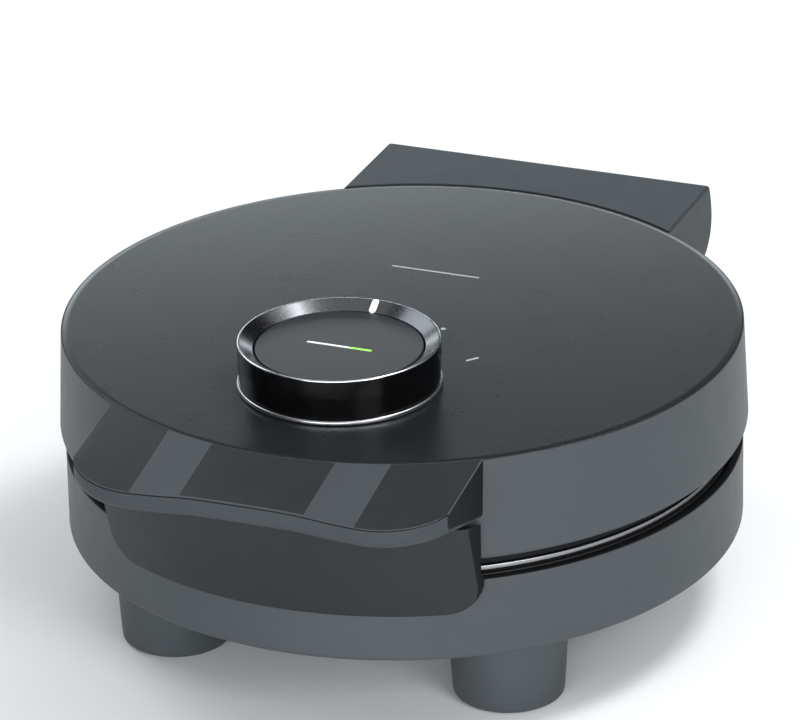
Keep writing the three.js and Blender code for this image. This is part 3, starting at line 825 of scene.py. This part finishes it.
def front_at(x):
    """The handle's front edge at x, as (y, z)."""
    at = min(abs(x), HANDLE_HALF)
    i = next((k for k, p in enumerate(FRONT) if k and p[0] >= at), len(FRONT) - 1)
    (x0, y0, z0), (x1, y1, z1) = FRONT[i - 1], FRONT[i]
    share = (at - x0) / (x1 - x0)
    return mix(y0, y1, share), mix(z0, z1, share)


def front_y(x):
    return front_at(x)[0]


def handle_top(x, y):
    """Straight rulings from the lid's edge down to the front edge."""
    x = max(-HANDLE_HALF, min(HANDLE_HALF, x))
    back, (front, tip) = on_circle(HANDLE_START, x), front_at(x)
    return mix(TOP, tip, (back - y) / (back - front))


def handle_bottom(x, y):
    x = max(-HANDLE_HALF, min(HANDLE_HALF, x))
    back, (front, tip) = on_circle(HANDLE_START, x), front_at(x)
    return mix(HANDLE_LOW_BACK, tip - LIP_THICK, (back - y) / (back - front))


def handle_outline():
    half = HANDLE_HALF
    back = on_circle(HANDLE_START, half)
    side = [(half, mix(front_y(half), back, k / 14)) for k in range(1, 15)]
    right = [p[:2] for p in FRONT if p[0] > 0] + side
    left = [(-x, y) for x, y in reversed(right)]
    rear = [(x, on_circle(HANDLE_START, x)) for x in (half * (1 - k / 30) for k in range(1, 60))]
    return left + right + rear


def make_lid_housing():
    wall = lathe("lid_shell", rounded([
        (0, TOP - 3.6), (LID_R - WALL, TOP - 3.6, 1), (LID_FOOT_R - WALL, LID_LOW, 0.4),
        (LID_FOOT_R, LID_LOW, 1.7), (LID_R, TOP - 0.5, 0.2), (DISC_R + DISC_GAP, TOP - 0.5, 0.1),
        (DISC_R + DISC_GAP, TOP - 1.3, 0.1), (0, TOP - 1.3)], closed=False))
    handle = solid_over("handle", handle_outline(), handle_bottom, handle_top, edge=0.55, low_edge=2.4,
                        spacing=1.6, sharp=lambda x, y: math.hypot(x, y) < HANDLE_START + 0.3)
    hollow_half = HANDLE_HALF - 2.6
    hollow = [(x, on_circle(LID_FOOT_R + 0.6, x)) for x in
              (hollow_half * (1 - k / 24) for k in range(49))]
    hollow += [(x, front_y(x * HANDLE_HALF / hollow_half) + 2.6) for x in
               (-hollow_half * math.cos(k * math.pi / 60) for k in range(61))]
    cut(handle, solid_over("hollow", hollow, 68, lambda x, y: handle_top(x, y) - 3.8, spacing=4))
    for start, end, land in INLAYS.values():
        field = inlay_outline(start - 0.04, end + 0.04, land - 0.08, -0.05)
        cut(handle, solid_over("field", field, lambda x, y: handle_top(x, y) - 1.5,
                               lambda x, y: handle_top(x, y) + 3, spacing=3))
    join(wall, handle)
    inside = [(0, 40), (LID_FOOT_R - WALL + 0.6, 40), (LID_FOOT_R - WALL + 0.6, LID_LOW),
              (LID_R - WALL + 0.6, TOP - 3), (0, TOP - 3)]
    for start in ARM_STARTS:
        arm = solid_over("arm", arm_outline(), start, start + ARM_WIDTH, 0.8, 0.8, place=along_x)
        cut(arm, lathe("inside", inside), bore(PIN_R + GAP, -49.7, 49.7, (HINGE.y, HINGE.z), along_x))
        join(wall, arm)
    cut(wall, *dial_holes())
    for x, y in screw_places():
        cut(wall, bore(2.1, 85, 96, (x, y)), bore(3.8, 91.9, 96, (x, y)))
    dress(wall, ANTHRACITE, "lid", "housing", "lid_housing")
    dress_handle(wall)


def dress_handle(wall):
    """Paints shade on the handle: shadow black on its sides and on the crease along the lip's top edge, and
    the darker cover plastic on the lip's front face.
    """
    side = HANDLE_HALF - 0.4

    def on_side(centre, normal):
        return abs(normal.x) > 0.8 and centre.y < -80 and side < abs(centre.x) < HANDLE_HALF + 0.1

    def before_slope(centre):
        return centre.y < -HANDLE_START - 4 and abs(centre.x) < side

    # Painted shade: shadow black on the sides and the crease, the darker cover plastic on the lip's front
    # face.
    dress_faces(wall, SHADOW_BLACK, on_side)
    dress_faces(wall, COVER, lambda centre, normal: before_slope(centre) and normal.z < 0.5)
    dress_faces(wall, SHADOW_BLACK, lambda centre, normal: before_slope(centre) and 0.3 < normal.z < 0.8)


def arm_outline():
    knuckle = arc((HINGE.y, HINGE.z), KNUCKLE, math.pi, 2 * math.pi, 32)
    return [(88, 90), (88, 72), (HINGE.y - 8, 72)] + knuckle + [
        (HINGE.y + 6, 71), (HINGE.y + 6, 84), (HINGE.y - 2, 90)]


def dial_holes():
    return [bore(4.6, 80, 110, (SPINDLE.x, SPINDLE.y)),
            box("guide_hole", (-4.6, 4.6), (DIAL.y - 1.1, DIAL.y + 1.1), (80, 110), 0.2)]


# Each inlay's first and last x, and the land it leaves at the handle's front edge
INLAYS = {
    "left": (BAND_EDGE - HANDLE_HALF, -BAND_OUTER, 0.7),
    "centre": (-BAND_INNER, BAND_INNER, 1.2),
    "right": (BAND_OUTER, HANDLE_HALF - BAND_EDGE, 0.7),
}


def inlay_outline(start, end, land, back_gap):
    """Plan of a handle inlay, counter-clockwise from its front left corner."""
    count = 40
    xs = [mix(start, end, k / count) for k in range(count + 1)]
    front = [(x, front_y(x) + land) for x in xs]
    back = [(x, on_circle(DISC_R + 0.05 + back_gap, x)) for x in reversed(xs)]
    return front + back


def make_inlays():
    for side, (start, end, land) in INLAYS.items():
        plan = inlay_outline(start, end, land + 0.08, 0.05)
        piece = solid_over(f"handle_panel_{side}", plan, lambda x, y: handle_top(x, y) - 1.4,
                           lambda x, y: handle_top(x, y) - 0.03, edge=0.06, spacing=1.6)
        dress(piece, INLAY, "lid", "dark_trim", f"handle_inlay_{side}")


def make_top_panel():
    panel = lathe("lid_disc", rounded([
        (0, PANEL_LOW.z), (DISC_R, PANEL_LOW.z, 0.15), (DISC_R, TOP - 0.4, 0.2), (DISC_R - 1.6, TOP, 5),
        (0, TOP)], closed=False, steps=12))
    cut(panel, *dial_holes())
    dress(panel, PANEL, "lid", "top_panel", "lid_top_panel")


def cover_outline(inset):
    """Side view of the hinge cover as (y, z); the hollow's is inset, and open below."""
    low = 70 - (4 if inset else 0)
    line = [(85, low), (126 - inset, low)]
    line += quadratic((126 - inset, low), (133.2 - inset, 73), (134.4 - inset, 81), 12)
    line += quadratic((134.4 - inset, 81), (134.97 - inset, 86), (132.5 - inset, TOP - 1.3 - inset), 12)
    line += quadratic((132.5 - inset, TOP - 1.3 - inset), (132 - inset, TOP - inset),
                      (130.8 - inset, TOP - inset), 8)
    return line + [(85, TOP - inset)]


def make_hinge_cover():
    half = COVER_HIGH.x
    cover = solid_over("hinge_hood", cover_outline(0), -half, half, 1.1, 1.1, place=along_x)
    hollow = solid_over("hollow", cover_outline(WALL), WALL - half, half - WALL, 0.6, 0.6, place=along_x)
    lid_body = lathe("lid_body", [(0, 50), (LID_FOOT_R + 0.35, 50), (LID_FOOT_R + 0.35, LID_LOW),
                                  (LID_R + 0.35, TOP), (LID_R + 0.35, 100), (0, 100)])
    cut(cover, hollow, lid_body)
    dress(cover, COVER, "lid", "housing", "hinge_cover")


# Dial
def bevel_height(r):
    """Height of the dial ring's sloping inner face at a radius."""
    return mix(CAP_HIGH.z - 0.1, DIAL_HIGH.z - 0.05, (r - CAP_R - 0.6) / (DIAL_R - CAP_R - 1.2))


def make_dial():
    centre = (DIAL.x, DIAL.y)
    low, high = DIAL_LOW.z, DIAL_HIGH.z
    bore_r = CAP_R + GAP
    ring = lathe("dial_knob_ring", rounded([
        (28.4, low, 0.2), (DIAL_R - 0.35, low, 0.5), (DIAL_R, low + 7, 20), (DIAL_R, high, 0.5),
        (DIAL_R - 0.85, high, 0.2), (bore_r + 0.35, CAP_HIGH.z - 0.1, 0.2), (bore_r, CAP_HIGH.z - 0.6, 0.2),
        (bore_r, 101.9), (28.4, 101.9)]), centre, 224)
    pointer = pointer_plan(0.12)
    cut(ring, solid_over("slot", pointer, lambda x, y: bevel_height(math.hypot(x, y - DIAL.y)) - 1.1,
                         high + 2, spacing=1))
    dress(ring, GLOSS, "dial", "gloss_black", "dial_ring", sharp=40)

    def on_lip(point):
        return (point - DIAL).xy.length > DIAL_R - DIAL_LIP

    dress_faces(ring, DARK_CHROME, lambda centre, normal: normal.z > 0.3
                and centre.z > CAP_HIGH.z - 0.4 and not on_lip(centre))
    dress_faces(ring, TURNED, lambda centre, normal: centre.z > high - 0.42 and on_lip(centre))
    mark = solid_over("dial_mark", pointer_plan(0), lambda x, y: pointer_top(x, y) - 1.1,
                      pointer_top, edge=0.15, spacing=0.5)
    dress(mark, WHITE, "dial", "white_plastic", "dial_pointer")


def pointer_top(x, y):
    """Height of the pointer's top, just proud of the bevel."""
    return min(bevel_height(math.hypot(x, y - DIAL.y)) + 0.05, DIAL_HIGH.z - 0.02)


def pointer_plan(extra):
    """The white mark's plan: a bar with round ends across the dial's bevel, at its rear."""
    start, end, half = CAP_R + 0.5 - extra, DIAL_R - 0.1 + extra * 0.4, 1.15 + extra
    return [(DIAL.x - b, DIAL.y + a) for a, b in stadium(start, end, half)]


def make_dial_centre():
    centre = (DIAL.x, DIAL.y)
    low, high = corners("dial_centre_cap")
    cap = lathe("dial_disc", rounded([
        (0, low.z), (9, low.z, 0.3), (9, high.z - 2.3, 0.5), (CAP_R, high.z - 2.3, 0.3),
        (CAP_R, high.z, 0.35), (0, high.z)], closed=False), centre, 192)
    half = corners("light_bar_green")[1].x
    slot = [(x, DIAL.y + y) for x, y in stadium(-half - 0.2, half + 0.2, 0.75)]
    cut(cap, solid_over("slot", slot, 102.7, 110),
        box("guide", (-4.4, 4.4), (DIAL.y - 0.9, DIAL.y + 0.9), (80, 104), 0.1))
    dress(cap, CAP, "lid", "housing", "dial_centre_cap")
    for name, node, material, slot_name in (
            ("light_window_white", "light_bar_white", LIT_WHITE, "white_plastic"),
            ("light_window_green", "light_bar_green", LIT_GREEN, "green_lens")):
        low, high = corners(node)
        end = 0.6
        plan = [(x, DIAL.y + y) for x, y in stadium(low.x, high.x, end)]
        if node == "light_bar_white":
            plan = [(x if x < high.x - end else high.x, y) for x, y in plan]
        else:
            plan = [(x if x > low.x + end else low.x, y) for x, y in plan]
        dress(solid_over(name, plan, low.z, high.z - 0.02, 0.15), material, "lid", slot_name, node)
    ring = lathe("dial_trim_ring", rounded([(27.6, RING_LOW.z, 0.2), (RING_HIGH.x, RING_LOW.z, 0.3),
                                            (RING_HIGH.x, RING_HIGH.z, 0.6), (27.6, RING_HIGH.z, 0.2)]),
                 centre, 192)
    dress(ring, RIM, "lid", "satin_metal", "dial_base_ring")


def make_marks():
    """Plain printed marks on the lid's disc: a dot, a dash and a short line."""
    top = TOP + 0.03
    dot = solid_over("printed_dot", arc((15.4, -4), 0.8, 0, 2 * math.pi * 31 / 32, 31), TOP - 0.1, top)
    turn = Matrix.Rotation(math.atan2(3.8, 3.1), 2)
    dash = solid_over("printed_dash", [tuple(turn @ Vector(p) + Vector((32.2, -22.4)))
                                       for p in stadium(-2.3, 2.3, 0.5)], TOP - 0.1, top)
    line = solid_over("printed_line", [(x - 3, y + 36.5) for x, y in stadium(-15, 15, 0.4)],
                      TOP - 0.1, top)
    for piece in (dot, dash, line):
        dress(piece, PRINT, "lid", "white_plastic")


def make_lid_inside():
    low, high = corners("thermostat_body")
    case = box("thermostat_case", (low.x, high.x), (low.y, high.y), (low.z, 90.2), 0.6)
    join(case, bore(4.2, 90, high.z, (SPINDLE.x, SPINDLE.y)))
    cut(case, bore(2.3, 85.7, 110, (SPINDLE.x, SPINDLE.y)))
    dress(case, BLACK, "lid", "black_plastic", "thermostat_body")
    low, high = corners("thermal_fuse")
    middle = ((low.y + high.y) / 2, (low.z + high.z) / 2)
    fuse = lathe("fuse_link", rounded([(0, low.x), (2.6, low.x, 0.9), (2.6, high.x, 0.9), (0, high.x)],
                                      closed=False), middle, 48, along_x)
    dress(fuse, CERAMIC, "lid", "white_plastic", "thermal_fuse")


def keep_cad_nodes():
    """Hidden CAD nodes that stay, with their finishes and softened edges."""
    kept = {"thermostat_nut": BRASS, "spindle_pinion": BRASS, "thermostat_spindle": STEEL,
            "indicator_board": BOARD, "light_guide": GUIDE}
    for name, material in kept.items():
        node = frame["nodes"][name]
        node.data.materials.clear()
        node.data.materials.append(material)
        edges = node.modifiers.new("edges", "BEVEL")
        edges.width, edges.segments, edges.limit_method = 0.12 * MM, 2, "ANGLE"


# Studio
def make_camera():
    """The photo's view; places are in metres."""
    data = bpy.data.cameras.new("camera")
    data.sensor_width = 36
    data.lens = 273.0
    data.clip_start, data.clip_end = 0.05, 50
    camera = bpy.data.objects.new("camera", data)
    bpy.context.scene.collection.objects.link(camera)
    place, aim = Vector((0.661, -1.6302, 0.8855)), Vector((0.0024, -0.0052, 0.0823))
    look = (aim - place).to_track_quat("-Z", "Y").to_matrix().to_4x4()
    camera.matrix_world = Matrix.Translation(place) @ look @ Matrix.Rotation(math.radians(-1.2), 4, "Z")
    bpy.context.scene.camera = camera


def softbox(name, place, aim, width, height, power, colour):
    """An area light; places and sizes are in metres."""
    light = bpy.data.lights.new(name, "AREA")
    light.shape = "RECTANGLE"
    light.size, light.size_y = width, height
    light.energy = power
    light.color = colour
    lamp = bpy.data.objects.new(name, light)
    bpy.context.scene.collection.objects.link(lamp)
    lamp.location = place
    lamp.rotation_euler = (Vector(aim) - Vector(place)).to_track_quat("-Z", "Y").to_euler()
    lamp.visible_camera = False


def make_studio():
    world = bpy.data.worlds.new("studio")
    bpy.context.scene.world = world
    world.use_nodes = True
    background = world.node_tree.nodes["Background"]
    background.inputs["Color"].default_value = (0.93, 0.97, 1.0, 1)
    background.inputs["Strength"].default_value = 0.05
    cool = (0.88, 0.96, 1.0)
    neutral = (0.97, 0.985, 1.0)
    softbox("rear_strip", (-0.3, 0.52, 0.235), (0, 0.08, 0.094), 0.8, 0.1, 0.95, cool)
    softbox("left_back", (-1.5, 0.6, 1.3), (0, 0, 0.08), 1.0, 1.0, 12, cool)
    softbox("overhead", (0, -0.3, 2.2), (0, 0, 0), 2.6, 2.6, 20, neutral)
    softbox("key_wide", (1.3, 0.6, 2.2), (0, 0, 0.08), 2.0, 2.0, 14, neutral)
    softbox("glint", (0.43, 0.15, 0.98), (0, -0.05, 0.1), 0.3, 0.3, 5, neutral)
    softbox("front_right", (1.5, -1.1, 0.9), (0, 0, 0.07), 0.9, 0.9, 20.5, neutral)
    softbox("front_low", (0.3, -1.9, 0.4), (0, 0, 0.05), 1.8, 0.6, 36, neutral)
    bpy.context.scene.view_settings.view_transform = "Standard"


def make_floor():
    mesh = bpy.data.meshes.new("floor")
    half = 8
    mesh.from_pydata([(-half, -half, 0), (half, -half, 0), (half, half, 0), (-half, half, 0)], [],
                     [(0, 1, 2, 3)])
    floor = bpy.data.objects.new("floor", mesh)
    bpy.context.scene.collection.objects.link(floor)
    n = Nodes("pale_floor")
    n.link(n.ramp(n.noise(400, detail=3), shades((0.86, 0.86, 0.86), 0.99, 1.01)),
           n.shader.inputs["Base Color"])
    n.shader.inputs["Roughness"].default_value = 0.8
    mesh.materials.append(n.material)


make_camera()
make_studio()
make_floor()
make_base_housing()
make_feet()
make_grip()
make_plate_set("lower", "base", PLATE_LOW_FACE, 1)
make_base_small_parts()
make_lid_housing()
make_inlays()
make_top_panel()
make_hinge_cover()
make_plate_set("upper", "lid", PLATE_HIGH_FACE, -1)
make_dial()
make_dial_centre()
make_marks()
make_lid_inside()
keep_cad_nodes()
